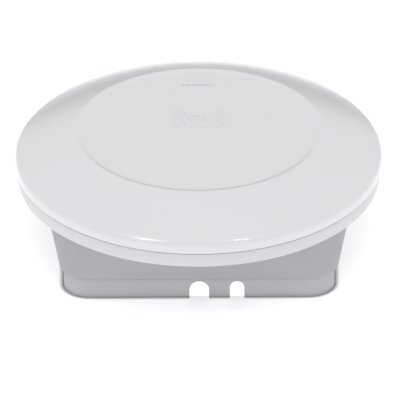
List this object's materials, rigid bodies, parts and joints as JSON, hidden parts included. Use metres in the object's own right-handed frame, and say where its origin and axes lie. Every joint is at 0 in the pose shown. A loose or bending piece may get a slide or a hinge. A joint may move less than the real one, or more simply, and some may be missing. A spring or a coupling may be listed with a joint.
{
  "type": "ceiling access point",
  "caption": "Ceiling wireless access point: round domed glossy cover on a square tapered base that twists onto a ceiling bracket with cable notches.",
  "frame": {"origin": "centre of the bracket's ceiling face, on the axis of the round cover", "axes": "+Z away from the ceiling through the middle of the cover; the cable notches, sockets and reset button face -Y"},
  "size_m": [0.2, 0.2, 0.0627],
  "materials": {
    "cover_plastic": "gloss",
    "bezel_plastic": "satin",
    "base_plastic": "fine matt texture",
    "bracket_plastic": "fine matt texture",
    "steel": "zinc plated",
    "tinned_steel": "tin plated",
    "label": "blank matt label",
    "board": "solder mask",
    "chip": "moulded epoxy",
    "thermal_pad": "soft pad",
    "aluminium": "as extruded",
    "pin_plastic": "natural nylon",
    "ferrite": "ferrite",
    "capacitor": "can",
    "black_plastic": "moulded",
    "brass": "turned",
    "antenna_metal": "stamped strip",
    "lead_jacket": "coaxial jacket",
    "gold": "gold plated",
    "led": "lens",
    "light_pipe": "clear acrylic"
  },
  "bodies": {
    "mounting_bracket": {"mounting_bracket": "bracket_plastic", "lock_studs": "steel"},
    "access_point": {"antenna_back": "antenna_metal", "antenna_front": "antenna_metal", "antenna_leads": "lead_jacket", "antenna_left": "antenna_metal", "antenna_right": "antenna_metal", "antenna_tray": "aluminium", "base_housing": "base_plastic", "bezel_ring": "bezel_plastic", "blank_label": "label", "board_screws": "steel", "capacitors": "capacitor", "clock_crystal": "tinned_steel", "coax_sockets": "gold", "ethernet_contacts": "gold", "ethernet_jack": "tinned_steel", "flash_chip": "chip", "heat_sink": "aluminium", "heat_sink_pins": "pin_plastic", "housing_screws": "steel", "light_pipe": "light_pipe", "main_board": "board", "memory_chip_left": "chip", "memory_chip_right": "chip", "network_transformer": "black_plastic", "power_inductors": "ferrite", "power_jack": "black_plastic", "power_pin": "tinned_steel", "power_transformer": "ferrite", "processor": "chip", "radio_chip_left": "chip", "radio_chip_right": "chip", "reset_switch": "black_plastic", "shield_can_left": "tinned_steel", "shield_can_right": "tinned_steel", "status_led": "led", "thermal_pads": "thermal_pad", "top_cover": "cover_plastic", "tray_screws": "steel", "tray_standoffs": "brass"},
    "reset_button": {"reset_button": "black_plastic"}
  },
  "joints": [
    {"name": "twist_lock", "type": "hinge", "parent": "mounting_bracket", "child": "access_point", "pos_m": [0, 0, 0.012], "axis": [0, 0, 1], "range_deg": [0, 10]},
    {"name": "reset_press", "type": "slide", "parent": "access_point", "child": "reset_button", "axis": [0, 1, 0], "range_m": [0, 0.0008], "stiffness_N_per_m": 1000, "springref_m": -0.0006}
  ]
}
